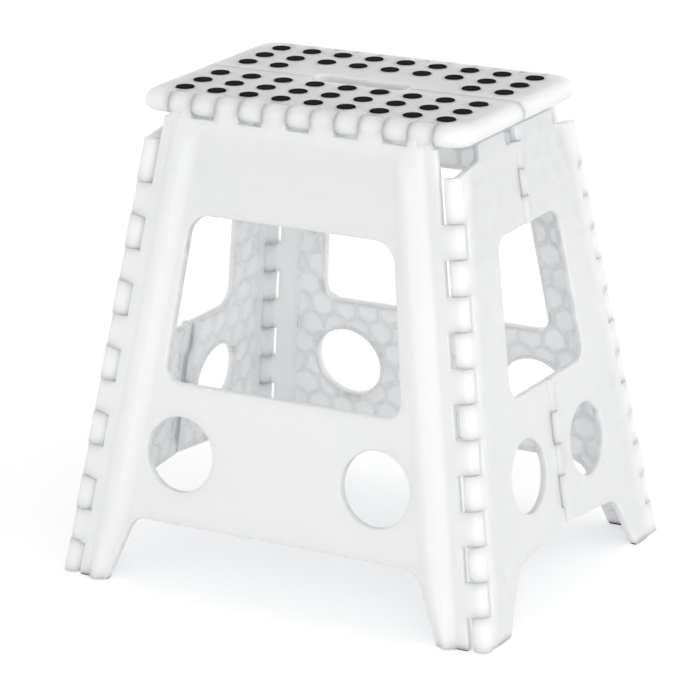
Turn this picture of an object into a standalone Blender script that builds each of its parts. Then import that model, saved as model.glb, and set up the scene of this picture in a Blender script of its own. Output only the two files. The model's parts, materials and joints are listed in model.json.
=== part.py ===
"""Folding step stool of eight hinged plastic panels, open and standing on its feet.

X runs along the top, the front panel faces -Y, the floor is z = 0 and the origin lies under the
middle of the top. Lengths are in metres and angles in degrees.
"""
import math

import bmesh
import bpy
from mathutils import Matrix, Vector

# Top: two halves that meet over the middle
TOP_HEIGHT = 0.448
TOP_LENGTH = 0.330
TOP_DEPTH = 0.231
TOP_THICKNESS = 0.0185
TOP_EDGE_RADIUS = 0.0105
TOP_UNDER_RADIUS = 0.0075
TOP_CORNER_RADIUS = 0.022
TOP_SKIN = 0.0035
TOP_RIM = 0.012
TOP_RIB = 0.0025
TOP_BAY_DOTS = 1

# Carry handle: a slot across the split of the top
HANDLE_LENGTH = 0.096
HANDLE_FRONT = 0.012
HANDLE_REAR = 0.015
HANDLE_RADIUS = 0.011
HANDLE_WALL = 0.003

# Grip dots let into the top
DOT_RADIUS = 0.0085
DOT_PITCH = 0.033
DOT_END_MARGIN = 0.023
DOT_ROW_FIRST = 0.0246
DOT_ROW_PITCH = 0.0305
DOT_ROW_MARGIN = 0.013
DOT_PROUD = 0.0008
DOT_RUNNER_WIDTH = 0.005
DOT_RUNNER_HEIGHT = 0.0012
HANDLE_FREE_DOTS = 5

# Front and rear panels
LEG_LEAN = 8.5
PANEL_FACE = 0.010
PANEL_SKIN = 0.003
STRIP_FACE = 0.0075
STRIP_WIDTH = 0.024
RIDGE_TOP_WIDTH = 0.016
RIDGE_FOOT_WIDTH = 0.023
RIDGE_HEIGHT = 0.0025
RIDGE_ROUND = 0.0022
RIDGE_DROP = 0.0195
RAIL_HEIGHT = 0.0945
WINDOW_BOTTOM = 0.190
WINDOW_STILE_TOP = 0.0577
WINDOW_STILE_BOTTOM = 0.0618
WINDOW_TOP_RADIUS = 0.022
WINDOW_BOTTOM_RADIUS = 0.014
HOLE_HEIGHT = 0.126
HOLE_INSET = 0.0932
HOLE_RADIUS = 0.0347
ARCH_HEIGHT = 0.062
ARCH_RADIUS = 0.020
LEG_WIDTH = 0.0572
FOOT_WIDTH = 0.0420

# Side halves
SIDE_LEAN = 8.6
CORNER_INSET = 0.0186
SIDE_FACE = 0.0076
SIDE_SKIN = 0.0025
SIDE_TOP_GAP = 0.0045
SIDE_TAB_INSET = 0.0369
SIDE_TAB_RADIUS = 0.006
SIDE_NOTCH_WIDTH = 0.023
SIDE_NOTCH_DEPTH = 0.014
SIDE_RAIL_HEIGHT = 0.087
SIDE_WINDOW_BOTTOM = 0.195
SIDE_STILE_TOP = 0.0609
SIDE_STILE_BOTTOM = 0.0662
SIDE_WINDOW_RADIUS = 0.016
SIDE_HOLE_HEIGHT = 0.1235
SIDE_HOLE_INSET = 0.0933
SIDE_HOLE_RADIUS = 0.0338
SIDE_ARCH_HEIGHT = 0.063
SIDE_ARCH_SHOULDER = 0.010
SIDE_LEG_WIDTH = 0.0645
SIDE_FOOT_WIDTH = 0.0409

# Hinges
TOP_KNUCKLES = 11
TOP_NOSE = 0.032
TOP_SEAM_BACK = 0.0065
TOP_ROD_RADIUS = 0.002
CORNER_KNUCKLES = 13
CORNER_DROP = 0.0335
CORNER_FIRST_KNUCKLE = 0.0389
CORNER_LAST_KNUCKLE = 0.0306
CORNER_BOTTOM = -0.001
CORNER_PANEL_RADIUS = 0.0073
CORNER_SIDE_RADIUS = 0.0081
CORNER_ROD_BOTTOM = 0.006
CORNER_ROD_RADIUS = 0.0018
SIDE_BARREL_RADIUS = 0.005
SIDE_ROD_RADIUS = 0.0015
SIDE_UPPER_KNUCKLES = 3
SIDE_LOWER_KNUCKLES = 4
SIDE_HINGE_MARGIN = 0.0146
CENTRE_REAR_RADIUS = 0.0055
CENTRE_FRONT_RADIUS = 0.0075
CENTRE_ROD_RADIUS = 0.002
CENTRE_KNUCKLES = 5
CENTRE_HANDLE_GAP = 0.009
CENTRE_WEB = 0.007
ROD_SHORT = 0.001

# Ribbed backs: honeycomb cells
CELL_PITCH = 0.040
CELL_WALL = 0.003
CELL_MARGIN = 0.003

# Foot pads
PAD_HEIGHT = 0.0012
PAD_INSET = 0.0012

# Clearances
GAP = 0.0003
BACK_GAP = 0.0003
KNUCKLE_SHORT = 0.00025
KNUCKLE_CLEAR = 0.00015
SWING_GAP = 0.0005
NOTCH_GAP = 0.0009
PANEL_NOTCH_GAP = 0.003
MIDDLE_GAP = 0.0003
SIDE_PLAY = 0.0005
CENTRE_PLAY = 0.0034

# Facets of round shapes
ARC_STEPS = 4
EDGE_STEPS = 3
HOLE_SIDES = 24
BARREL_SIDES = 10
BORE_SIDES = 6
ROD_SIDES = 10
DOT_SIDES = 10
SMOOTH_ANGLE = 35

# How far cutting shapes reach past what they cut
BELOW = 0.02
CUT_REACH = 0.022

# Worked out from the sizes above
LEAN = math.radians(LEG_LEAN)
SLOPE = math.radians(SIDE_LEAN)
HINGE_Y = TOP_DEPTH / 2 - TOP_EDGE_RADIUS
HINGE_Z = TOP_HEIGHT - TOP_EDGE_RADIUS
CENTRE_Z = TOP_HEIGHT - TOP_THICKNESS
SIDE_OFFSET = HINGE_Z - CENTRE_Z
CORNER_X = TOP_LENGTH / 2 - CORNER_INSET
FLOOR_CUT = PAD_HEIGHT + GAP
RIDGE_TOP = HINGE_Z - RIDGE_DROP
WINDOW_TOP = HINGE_Z - RAIL_HEIGHT
CORNER_TOP = HINGE_Z - CORNER_DROP
SIDE_TOP = CENTRE_Z - SIDE_TOP_GAP
SIDE_UPPER_TOP = SIDE_TOP - SIDE_NOTCH_DEPTH
SIDE_WINDOW_TOP = SIDE_TOP - SIDE_RAIL_HEIGHT
DOT_COLUMNS = 1 + int((TOP_LENGTH - 2 * DOT_END_MARGIN) / DOT_PITCH)
DOT_ROWS = 1 + int((HINGE_Y - DOT_ROW_FIRST - DOT_ROW_MARGIN) / DOT_ROW_PITCH)
SKIN_UNDERSIDE = TOP_HEIGHT - TOP_SKIN
RUNNER_TOP = SKIN_UNDERSIDE - GAP
RUNNER_BOTTOM = RUNNER_TOP - DOT_RUNNER_HEIGHT
DOT_TOP = TOP_HEIGHT + DOT_PROUD

KEEP = Matrix.Identity(4)
MIRROR_X = Matrix.Diagonal((-1, 1, 1, 1))
MIRROR_Y = Matrix.Diagonal((1, -1, 1, 1))


def corner(z):
    """Point of the front right corner hinge's axis at a height."""
    drop = HINGE_Z - z
    return Vector((CORNER_X + drop * math.tan(SLOPE), -HINGE_Y - drop * math.tan(LEAN), z))


def frame(across, up, origin):
    """Matrix from flat coordinates (across, up, outward) to the stool's own."""
    outward = across.cross(up)
    turn = Matrix((across, up, outward)).transposed().to_4x4()
    return Matrix.Translation(origin) @ turn


FRONT_UP = Vector((0, math.sin(LEAN), math.cos(LEAN)))
FRONT = frame(Vector((1, 0, 0)), FRONT_UP, Vector((0, -HINGE_Y, HINGE_Z)))
SIDE_UP = Vector((-math.sin(SLOPE), 0, math.cos(SLOPE)))
SIDE = frame(Vector((0, 1, 0)), SIDE_UP, Vector((corner(0).x, 0, 0)))
FRONT_OUT = FRONT.to_3x3() @ Vector((0, 0, 1))
SIDE_OUT = SIDE.to_3x3() @ Vector((0, 0, 1))


def on_front(x, z):
    """Flat coordinates on the front panel of a point at a height."""
    return Vector((x, (z - HINGE_Z) / math.cos(LEAN)))


def on_side(y, z):
    """Flat coordinates on the right side of a point at a height."""
    return Vector((y, z / math.cos(SLOPE)))


def fillet(corners):
    """Outline through (point, radius) corners, each rounded by an arc."""
    outline = []
    count = len(corners)
    for index, (point, radius) in enumerate(corners):
        if radius == 0:
            outline.append(point)
            continue
        before = corners[index - 1][0] - point
        after = corners[(index + 1) % count][0] - point
        half = before.angle(after) / 2
        reach = min(radius / math.tan(half), before.length / 2, after.length / 2)
        bow = reach * math.tan(half)
        first = point + before.normalized() * reach
        last = point + after.normalized() * reach
        middle = point + (before.normalized() + after.normalized()).normalized() * (reach / math.cos(half))
        sweep = (first - middle).angle_signed(last - middle)
        for step in range(ARC_STEPS + 1):
            spoke = Matrix.Rotation(-sweep * step / ARC_STEPS, 2) @ (first - middle)
            outline.append(middle + spoke.normalized() * bow)
    return outline


def mirrored(half):
    """Whole outline of (point, radius) corners from its right half."""
    return half + [(Vector((-point.x, point.y)), radius) for point, radius in reversed(half)]


def circle(centre, radius, sides):
    """Closed outline of a round hole."""
    steps = [2 * math.pi * index / sides for index in range(sides)]
    return [centre + Vector((math.cos(turn), math.sin(turn))) * radius for turn in steps]


def round_cut(radius, sides):
    """Circumradius of a polygonal hole that clears a round of this radius."""
    return radius / math.cos(math.pi / sides)


def add_slab(bm, outer, holes, low, high, place):
    """Adds a flat plate with holes, from low to high along its outward direction."""
    known = set(bm.faces)
    if holes:
        edges = []
        for loop in (outer, *holes):
            ring = [bm.verts.new((point.x, point.y, low)) for point in loop]
            edges += [bm.edges.new((ring[index - 1], ring[index])) for index in range(len(ring))]
        bmesh.ops.triangle_fill(bm, edges=edges, use_beauty=True, normal=(0, 0, 1))
    else:
        bm.faces.new([bm.verts.new((point.x, point.y, low)) for point in outer])
    base = [face for face in bm.faces if face not in known]
    lifted = bmesh.ops.extrude_face_region(bm, geom=base)["geom"]
    raised = [item for item in lifted if isinstance(item, bmesh.types.BMVert)]
    bmesh.ops.translate(bm, verts=raised, vec=(0, 0, high - low))
    fresh = [face for face in bm.faces if face not in known]
    bmesh.ops.recalc_face_normals(bm, faces=fresh)
    corners = list({vert for face in fresh for vert in face.verts})
    bmesh.ops.transform(bm, matrix=place, verts=corners)
    return fresh


def add_barrel(bm, start, end, radius, sides):
    """Adds a closed cylinder between two points, turned so that no corner lies level with its axis."""
    axis = end - start
    turn = axis.to_track_quat("Z", "Y").to_matrix().to_4x4()
    quarter_facet = Matrix.Rotation(math.pi / sides / 2, 4, "Z")
    place = Matrix.Translation((start + end) / 2) @ turn @ quarter_facet
    bmesh.ops.create_cone(bm, cap_ends=True, segments=sides, radius1=radius, radius2=radius,
                          depth=axis.length, matrix=place)


def add_block(bm, start, end, across, reach, outward, depth):
    """Adds a box along a line: reach is its span across the line, depth its span outward."""
    along = (end - start).normalized()
    side = across.normalized()
    out = outward.normalized()
    turn = Matrix((along, side, out)).transposed().to_4x4()
    size = Matrix.Diagonal(((end - start).length, reach[1] - reach[0], depth[1] - depth[0], 1))
    centre = (start + end) / 2 + side * sum(reach) / 2 + out * sum(depth) / 2
    made = bmesh.ops.create_cube(bm, size=1, matrix=Matrix.Translation(centre) @ turn @ size)
    faces = list({face for vert in made["verts"] for face in vert.link_faces})
    bmesh.ops.recalc_face_normals(bm, faces=faces)


def mesh_of(bm):
    """Mesh that holds what a bmesh holds, which is then freed."""
    mesh = bpy.data.meshes.new("work")
    bm.to_mesh(mesh)
    bm.free()
    return mesh


def combine(body, bm, operation):
    """Joins the solids of a bmesh to a mesh, or cuts them away from it."""
    target = bpy.data.objects.new("target", body)
    tool = bpy.data.objects.new("tool", mesh_of(bm))
    for item in (target, tool):
        bpy.context.scene.collection.objects.link(item)
    modifier = target.modifiers.new("combine", "BOOLEAN")
    modifier.operation = operation
    modifier.object = tool
    modifier.use_self = True
    graph = bpy.context.evaluated_depsgraph_get()
    result = bpy.data.meshes.new_from_object(target.evaluated_get(graph))
    for item in (target, tool):
        spent = item.data
        bpy.data.objects.remove(item)
        bpy.data.meshes.remove(spent)
    return result


def spans(first, last, count):
    """Neighbouring stretches of a hinge line, as (start, end) distances."""
    step = (last - first) / count
    return [(first + step * index, first + step * (index + 1)) for index in range(count)]


def add_knuckles(bm, stretches, at, radius):
    """Adds one barrel in each stretch of a hinge line; at gives the line's point at a distance."""
    for first, last in stretches:
        toward = math.copysign(KNUCKLE_SHORT, last - first)
        add_barrel(bm, at(first + toward), at(last - toward), radius, BARREL_SIDES)


def inside(point, loop):
    """Whether a flat point lies within an outline."""
    odd = False
    for index, here in enumerate(loop):
        there = loop[index - 1]
        if (here.y > point.y) != (there.y > point.y):
            cross = here.x + (point.y - here.y) / (there.y - here.y) * (there.x - here.x)
            odd = odd != (point.x < cross)
    return odd


def clear_of(point, loop, margin):
    """Whether a flat point keeps a margin to every edge of an outline."""
    for index, here in enumerate(loop):
        along = loop[index - 1] - here
        if along.length_squared == 0:
            continue
        share = max(0.0, min(1.0, (point - here).dot(along) / along.length_squared))
        if (here + along * share - point).length < margin:
            return False
    return True


def add_cells(bm, outer, holes, low, high, place):
    """Adds the hollow of each honeycomb cell that fits on a panel's back."""
    radius = (CELL_PITCH - CELL_WALL) / math.sqrt(3)
    row_step = CELL_PITCH * math.sqrt(3) / 2
    left = min(point.x for point in outer)
    bottom = min(point.y for point in outer)
    width = max(point.x for point in outer) - left
    height = max(point.y for point in outer) - bottom
    columns = math.ceil(width / CELL_PITCH) + 2
    start_x = left + width / 2 - CELL_PITCH * (columns // 2)
    for row in range(math.ceil(height / row_step) + 1):
        for column in range(columns):
            shift = CELL_PITCH / 2 * (row % 2)
            centre = Vector((start_x + column * CELL_PITCH + shift, bottom + row * row_step))
            cell = [centre + Vector((math.sin(turn), math.cos(turn))) * radius
                    for turn in (math.pi / 3 * index for index in range(6))]
            fits = all(inside(point, outer) and clear_of(point, outer, CELL_MARGIN) for point in cell)
            free = all(not inside(point, hole) and clear_of(point, hole, CELL_MARGIN)
                       for hole in holes for point in cell)
            if fits and free:
                add_slab(bm, cell, [], low, high, place)


def add_floor(bm):
    """Adds the block below the feet's flat undersides."""
    wide = corner(0).x + CUT_REACH
    start = Vector((-wide, 0, FLOOR_CUT))
    end = Vector((wide, 0, FLOOR_CUT))
    add_block(bm, start, end, Vector((0, 1, 0)), (-wide, wide), Vector((0, 0, 1)), (-2 * BELOW, 0))


TOP_RUN = TOP_LENGTH - 2 * TOP_NOSE
TOP_STRETCHES = spans(-TOP_RUN / 2, TOP_RUN / 2, TOP_KNUCKLES)
CORNER_SECOND = CORNER_TOP - CORNER_FIRST_KNUCKLE
CORNER_LAST = CORNER_BOTTOM + CORNER_LAST_KNUCKLE
CORNER_STRETCHES = [(CORNER_TOP, CORNER_SECOND), *spans(CORNER_SECOND, CORNER_LAST, CORNER_KNUCKLES - 2),
                    (CORNER_LAST, CORNER_BOTTOM)]
SIDE_UPPER = spans(SIDE_UPPER_TOP, SIDE_WINDOW_TOP, SIDE_UPPER_KNUCKLES)
SIDE_LOWER = spans(SIDE_WINDOW_BOTTOM, SIDE_ARCH_HEIGHT + SIDE_HINGE_MARGIN, SIDE_LOWER_KNUCKLES)
CENTRE_START = HANDLE_LENGTH / 2 + CENTRE_HANDLE_GAP
CENTRE_STRETCHES = spans(CENTRE_START, TOP_RUN / 2, CENTRE_KNUCKLES)


def top_axis(x):
    """Point of the front top hinge's axis."""
    return Vector((x, -HINGE_Y, HINGE_Z))


def centre_axis(x):
    """Point of the hinge axis under the middle of the top."""
    return Vector((x, 0, CENTRE_Z))


def side_axis(z):
    """Point of the right side's middle hinge axis, out from a height on the side's inner plane."""
    flat = on_side(0, z)
    return SIDE @ Vector((flat.x, flat.y, SIDE_OFFSET))


def leg_line(z, inset):
    """Flat point on the front panel at a distance inside its corner hinge."""
    return on_front(corner(z).x - inset, z)


def side_line(z, inset):
    """Flat point on the right side at a distance inside its front corner hinge."""
    return on_side(corner(z).y + inset, z)


def front_openings():
    """Window and round holes of the front panel."""
    window = [(leg_line(WINDOW_TOP, WINDOW_STILE_TOP), WINDOW_TOP_RADIUS),
              (leg_line(WINDOW_BOTTOM, WINDOW_STILE_BOTTOM), WINDOW_BOTTOM_RADIUS)]
    right = leg_line(HOLE_HEIGHT, HOLE_INSET)
    left = Vector((-right.x, right.y))
    return [fillet(mirrored(window)), *(circle(centre, HOLE_RADIUS, HOLE_SIDES) for centre in (left, right))]


def front_arch():
    """Outline of the gap between the front panel's feet."""
    foot = leg_line(FLOOR_CUT, FOOT_WIDTH)
    below = Vector((foot.x, foot.y - 2 * BELOW))
    return fillet(mirrored([(below, 0), (foot, 0), (leg_line(ARCH_HEIGHT, LEG_WIDTH), ARCH_RADIUS)]))


def front_plate():
    """Front leg panel without its hinges or cells, in flat coordinates."""
    bm = bmesh.new()
    field = [(leg_line(HINGE_Z, STRIP_WIDTH), 0), (leg_line(-BELOW, STRIP_WIDTH), 0)]
    add_slab(bm, fillet(mirrored(field)), [], BACK_GAP, PANEL_FACE, KEEP)
    body = mesh_of(bm)

    bm = bmesh.new()
    under_ridge = STRIP_WIDTH + RIDGE_TOP_WIDTH / 2
    strip = [leg_line(HINGE_Z, under_ridge), leg_line(-BELOW, under_ridge), leg_line(-BELOW, 0),
             leg_line(HINGE_Z, 0)]
    ridge = [leg_line(RIDGE_TOP, STRIP_WIDTH + RIDGE_TOP_WIDTH),
             leg_line(-BELOW, STRIP_WIDTH + RIDGE_FOOT_WIDTH),
             leg_line(-BELOW, STRIP_WIDTH - GAP), leg_line(RIDGE_TOP, STRIP_WIDTH - GAP)]
    for side in (-1, 1):
        add_slab(bm, [Vector((side * point.x, point.y)) for point in strip], [], BACK_GAP, STRIP_FACE, KEEP)
        faces = add_slab(bm, [Vector((side * point.x, point.y)) for point in ridge], [],
                         STRIP_FACE - PANEL_SKIN, PANEL_FACE + RIDGE_HEIGHT, KEEP)
        crest = {edge for face in faces for edge in face.edges
                 if all(vert.co.z > PANEL_FACE for vert in edge.verts)}
        bmesh.ops.bevel(bm, geom=list(crest), offset=RIDGE_ROUND, segments=EDGE_STEPS, profile=0.5,
                        affect="EDGES", clamp_overlap=True)
    body = combine(body, bm, "UNION")

    bm = bmesh.new()
    for outline in (front_arch(), *front_openings()):
        add_slab(bm, outline, [], -CUT_REACH, CUT_REACH, KEEP)
    return combine(body, bm, "DIFFERENCE")


def front_panel_mesh():
    """Front leg panel with its ridges, honeycomb back and hinge knuckles."""
    body = front_plate()
    body.transform(FRONT)

    bm = bmesh.new()
    add_floor(bm)
    swing = TOP_EDGE_RADIUS + SWING_GAP
    beyond = TOP_LENGTH / 2
    top_cuts = [(first - KNUCKLE_CLEAR, last + KNUCKLE_CLEAR) for first, last in TOP_STRETCHES[1::2]]
    top_cuts += [(TOP_RUN / 2 - KNUCKLE_CLEAR, beyond), (-beyond, KNUCKLE_CLEAR - TOP_RUN / 2)]
    for first, last in top_cuts:
        add_block(bm, top_axis(first), top_axis(last), FRONT_UP, (-swing, swing), FRONT_OUT,
                  (-swing, CUT_REACH))
    corner_cuts = [(first + KNUCKLE_CLEAR, last - KNUCKLE_CLEAR) for first, last in CORNER_STRETCHES[::2]]
    corner_cuts[0] = (HINGE_Z + swing, corner_cuts[0][1])
    corner_cuts[-1] = (corner_cuts[-1][0], -BELOW)
    reach = CORNER_SIDE_RADIUS + PANEL_NOTCH_GAP
    for mirror in (KEEP, MIRROR_X):
        for first, last in corner_cuts:
            start = mirror @ corner(first)
            end = mirror @ corner(last)
            across = (end - start).cross(FRONT_OUT)
            add_block(bm, start, end, across, (-reach, reach), FRONT_OUT, (-CUT_REACH, CUT_REACH))
    body = combine(body, bm, "DIFFERENCE")

    bm = bmesh.new()
    add_knuckles(bm, TOP_STRETCHES[::2], top_axis, TOP_EDGE_RADIUS)
    add_knuckles(bm, CORNER_STRETCHES[1::2], corner, CORNER_PANEL_RADIUS)
    add_knuckles(bm, CORNER_STRETCHES[1::2], lambda z: MIRROR_X @ corner(z), CORNER_PANEL_RADIUS)
    body = combine(body, bm, "UNION")

    bm = bmesh.new()
    bore = round_cut(TOP_ROD_RADIUS + GAP, BORE_SIDES)
    add_barrel(bm, top_axis(-beyond), top_axis(beyond), bore, BORE_SIDES)
    bore = round_cut(CORNER_ROD_RADIUS + GAP, BORE_SIDES)
    for mirror in (KEEP, MIRROR_X):
        add_barrel(bm, mirror @ corner(HINGE_Z), mirror @ corner(-BELOW), bore, BORE_SIDES)
    add_cells(bm, front_cell_field(), front_openings(), -PANEL_FACE, PANEL_FACE - PANEL_SKIN, FRONT)
    return combine(body, bm, "DIFFERENCE")


def front_cell_field():
    """Outline of the front panel's honeycomb, clear of the hinges and the feet."""
    low = FLOOR_CUT + PANEL_FACE
    half = [(leg_line(HINGE_Z - 2 * TOP_EDGE_RADIUS, STRIP_WIDTH), 0), (leg_line(low, STRIP_WIDTH), 0),
            (leg_line(low, FOOT_WIDTH), 0), (leg_line(ARCH_HEIGHT, LEG_WIDTH), 0)]
    return fillet(mirrored(half))


def side_outline(notched):
    """Outline of the right front side half; notched clears the end of the top's middle hinge."""
    edge = -MIDDLE_GAP
    foot = side_line(FLOOR_CUT, SIDE_FOOT_WIDTH)
    tab = corner(SIDE_TOP).y + SIDE_TAB_INSET
    points = [(side_line(-BELOW, 0), 0), (side_line(CORNER_TOP, 0), 0),
              (on_side(tab, CORNER_TOP + SIDE_TAB_RADIUS), SIDE_TAB_RADIUS),
              (on_side(tab, SIDE_TOP), SIDE_TAB_RADIUS / 2)]
    if notched:
        points += [(on_side(-SIDE_NOTCH_WIDTH, SIDE_TOP), 0),
                   (on_side(-SIDE_NOTCH_WIDTH, SIDE_UPPER_TOP), SIDE_NOTCH_DEPTH),
                   (on_side(edge, SIDE_UPPER_TOP), 0)]
    else:
        points += [(on_side(edge, SIDE_TOP), 0)]
    points += [(on_side(edge, SIDE_WINDOW_TOP), 0),
               (side_line(SIDE_WINDOW_TOP, SIDE_STILE_TOP), SIDE_WINDOW_RADIUS),
               (side_line(SIDE_WINDOW_BOTTOM, SIDE_STILE_BOTTOM), SIDE_WINDOW_RADIUS),
               (on_side(edge, SIDE_WINDOW_BOTTOM), 0), (on_side(edge, SIDE_ARCH_HEIGHT), 0),
               (side_line(SIDE_ARCH_HEIGHT - SIDE_ARCH_SHOULDER, SIDE_LEG_WIDTH), ARCH_RADIUS),
               (foot, 0), (Vector((foot.x, foot.y - BELOW)), 0)]
    return fillet(points)


def side_cell_field(outline):
    """Outline of a side half's honeycomb, clear of its two hinges."""
    cleared = []
    for point in outline:
        hinge = corner(point.y * math.cos(SLOPE)).y + 2 * CORNER_SIDE_RADIUS
        cleared.append(Vector((min(max(point.x, hinge), -2 * SIDE_BARREL_RADIUS), point.y)))
    return cleared


def side_half_mesh(notched):
    """Right front side half; with notched off, the mirror image of the rear half."""
    outline = side_outline(notched)
    hole = circle(side_line(SIDE_HOLE_HEIGHT, SIDE_HOLE_INSET), SIDE_HOLE_RADIUS, HOLE_SIDES)
    bm = bmesh.new()
    add_slab(bm, outline, [hole], BACK_GAP, SIDE_FACE, KEEP)
    body = mesh_of(bm)
    body.transform(SIDE)

    own = 0 if notched else 1
    bm = bmesh.new()
    reach = CORNER_PANEL_RADIUS + NOTCH_GAP
    for first, last in CORNER_STRETCHES[1::2]:
        start = corner(first + KNUCKLE_CLEAR)
        end = corner(last - KNUCKLE_CLEAR)
        across = (end - start).cross(SIDE_OUT)
        add_block(bm, start, end, across, (-reach, reach), SIDE_OUT, (-CUT_REACH, CUT_REACH))
    reach = SIDE_BARREL_RADIUS + NOTCH_GAP + SIDE_PLAY
    for stretches in (SIDE_UPPER, SIDE_LOWER):
        for first, last in stretches[1 - own::2]:
            start = side_axis(first + KNUCKLE_CLEAR)
            end = side_axis(last - KNUCKLE_CLEAR)
            add_block(bm, start, end, Vector((0, 1, 0)), (-reach, reach), SIDE_OUT, (-reach, CUT_REACH))
    body = combine(body, bm, "DIFFERENCE")

    bm = bmesh.new()
    add_knuckles(bm, CORNER_STRETCHES[::2], corner, CORNER_SIDE_RADIUS)
    for stretches in (SIDE_UPPER, SIDE_LOWER):
        add_knuckles(bm, stretches[own::2], side_axis, SIDE_BARREL_RADIUS)
    body = combine(body, bm, "UNION")

    bm = bmesh.new()
    add_floor(bm)
    bore = round_cut(CORNER_ROD_RADIUS + GAP, BORE_SIDES)
    add_barrel(bm, corner(HINGE_Z), corner(-BELOW), bore, BORE_SIDES)
    play = SIDE_PLAY if notched else 0
    bore = round_cut(SIDE_ROD_RADIUS + GAP + play, BORE_SIDES)
    for stretches in (SIDE_UPPER, SIDE_LOWER):
        top = stretches[0][0] + SIDE_HINGE_MARGIN / 2
        bottom = stretches[-1][1] - SIDE_HINGE_MARGIN / 2
        add_barrel(bm, side_axis(top), side_axis(bottom), bore, BORE_SIDES)
    add_cells(bm, side_cell_field(outline), [hole], -SIDE_FACE, SIDE_FACE - SIDE_SKIN, SIDE)
    return combine(body, bm, "DIFFERENCE")


def top_outline(handle_depth):
    """Plan of the top's front half, with its half of the carry handle's slot."""
    end = TOP_LENGTH / 2
    slot = HANDLE_LENGTH / 2
    edge = -MIDDLE_GAP
    half = [(Vector((slot, -handle_depth)), HANDLE_RADIUS), (Vector((slot, edge)), 0),
            (Vector((end, edge)), 0), (Vector((end, -TOP_DEPTH / 2)), TOP_CORNER_RADIUS)]
    return fillet(mirrored(half))


def dot_row(row, rear):
    """Centres of a row of dots on the top's front half; the rear half's first row leaves its middle free."""
    steps = [column - (DOT_COLUMNS - 1) / 2 for column in range(DOT_COLUMNS)]
    if rear and row == 0:
        steps = [step for step in steps if abs(step) > HANDLE_FREE_DOTS / 2]
    y = -DOT_ROW_FIRST - row * DOT_ROW_PITCH
    return [Vector((step * DOT_PITCH, y)) for step in steps]


def add_dots(bm, places, play, low, bar_top):
    """Adds a row of dots and the bar under the skin that joins them, or with play the space for both."""
    radius = round_cut(DOT_RADIUS + play, DOT_SIDES) if play else DOT_RADIUS
    half = DOT_RUNNER_WIDTH / 2 + play
    first = places[0]
    last = places[-1]
    bar = [Vector((first.x, first.y - half)), Vector((last.x, first.y - half)),
           Vector((last.x, first.y + half)), Vector((first.x, first.y + half))]
    add_slab(bm, bar, [], low, bar_top, KEEP)
    for place in places:
        add_slab(bm, circle(place, radius, DOT_SIDES), [], low, DOT_TOP + play, KEEP)


def top_bays(near):
    """Outlines of the hollows under the top's front half, between ribs that run midway between dots."""
    end = TOP_LENGTH / 2 - TOP_RIM + TOP_RIB / 2
    far = HINGE_Y - TOP_EDGE_RADIUS - TOP_RIB / 2
    lines_x = [(column - DOT_COLUMNS / 2) * DOT_PITCH
               for column in range(TOP_BAY_DOTS, DOT_COLUMNS, TOP_BAY_DOTS)]
    lines_y = [-DOT_ROW_FIRST - (row + 0.5) * DOT_ROW_PITCH for row in range(DOT_ROWS - 1)]
    edges_x = [-end, *lines_x, end]
    edges_y = [-near + TOP_RIB / 2, *lines_y, -far]
    bays = []
    for left, right in zip(edges_x, edges_x[1:]):
        for high, low in zip(edges_y, edges_y[1:]):
            first = Vector((left + TOP_RIB / 2, low + TOP_RIB / 2))
            last = Vector((right - TOP_RIB / 2, high - TOP_RIB / 2))
            bays.append([first, Vector((last.x, first.y)), last, Vector((first.x, last.y))])
    return bays


def top_plate(handle_depth):
    """Front half of the top with rounded rims, without hinges or hollows."""
    bm = bmesh.new()
    add_slab(bm, top_outline(handle_depth), [], CENTRE_Z, TOP_HEIGHT, KEEP)
    inner_x = TOP_LENGTH / 2 - TOP_CORNER_RADIUS - GAP
    inner_y = -(TOP_DEPTH / 2 - TOP_CORNER_RADIUS - GAP)
    under = min(TOP_UNDER_RADIUS, TOP_THICKNESS - TOP_EDGE_RADIUS - GAP)
    for height, radius in ((TOP_HEIGHT, TOP_EDGE_RADIUS), (CENTRE_Z, under)):
        rim = [edge for edge in bm.edges
               if all(abs(vert.co.z - height) < GAP for vert in edge.verts)
               and all(abs(vert.co.x) > inner_x or vert.co.y < inner_y for vert in edge.verts)]
        bmesh.ops.bevel(bm, geom=rim, offset=radius, segments=EDGE_STEPS, profile=0.5, affect="EDGES",
                        clamp_overlap=True)
    return mesh_of(bm)


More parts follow.
